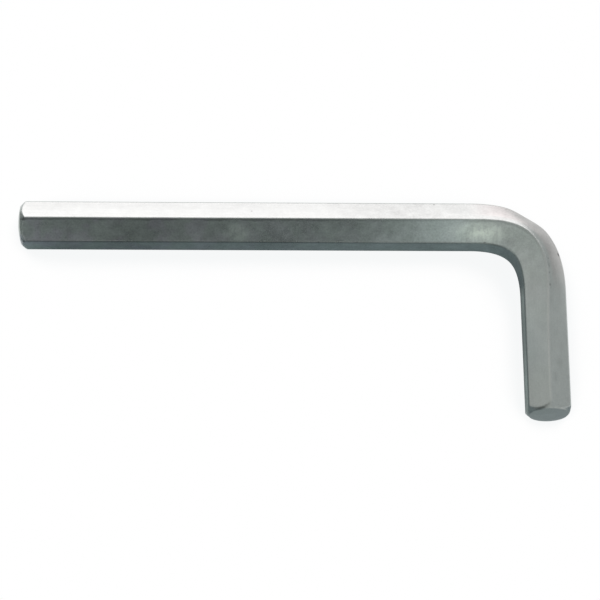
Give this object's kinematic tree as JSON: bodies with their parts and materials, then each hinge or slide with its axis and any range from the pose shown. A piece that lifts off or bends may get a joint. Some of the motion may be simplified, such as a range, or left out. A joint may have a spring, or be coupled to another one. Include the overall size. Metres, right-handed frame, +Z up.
{
  "type": "hex key",
  "caption": "Solid L-shaped hex key bent from hexagonal bar, with a long arm, a short arm and chamfered tips.",
  "frame": {"origin": "middle of the bounding box at bench level; the key lies flat on its lower corner edges", "axes": "+X along the long arm towards the bend, short arm pointing to -Y, +Z up from the bench"},
  "size_m": [0.114, 0.046, 0.0102],
  "materials": {
    "plated_steel": "satin nickel-plated steel, slightly mottled, with darker drawn corners"
  },
  "bodies": {
    "root": {"hex_key": "plated_steel"}
  },
  "joints": []
}
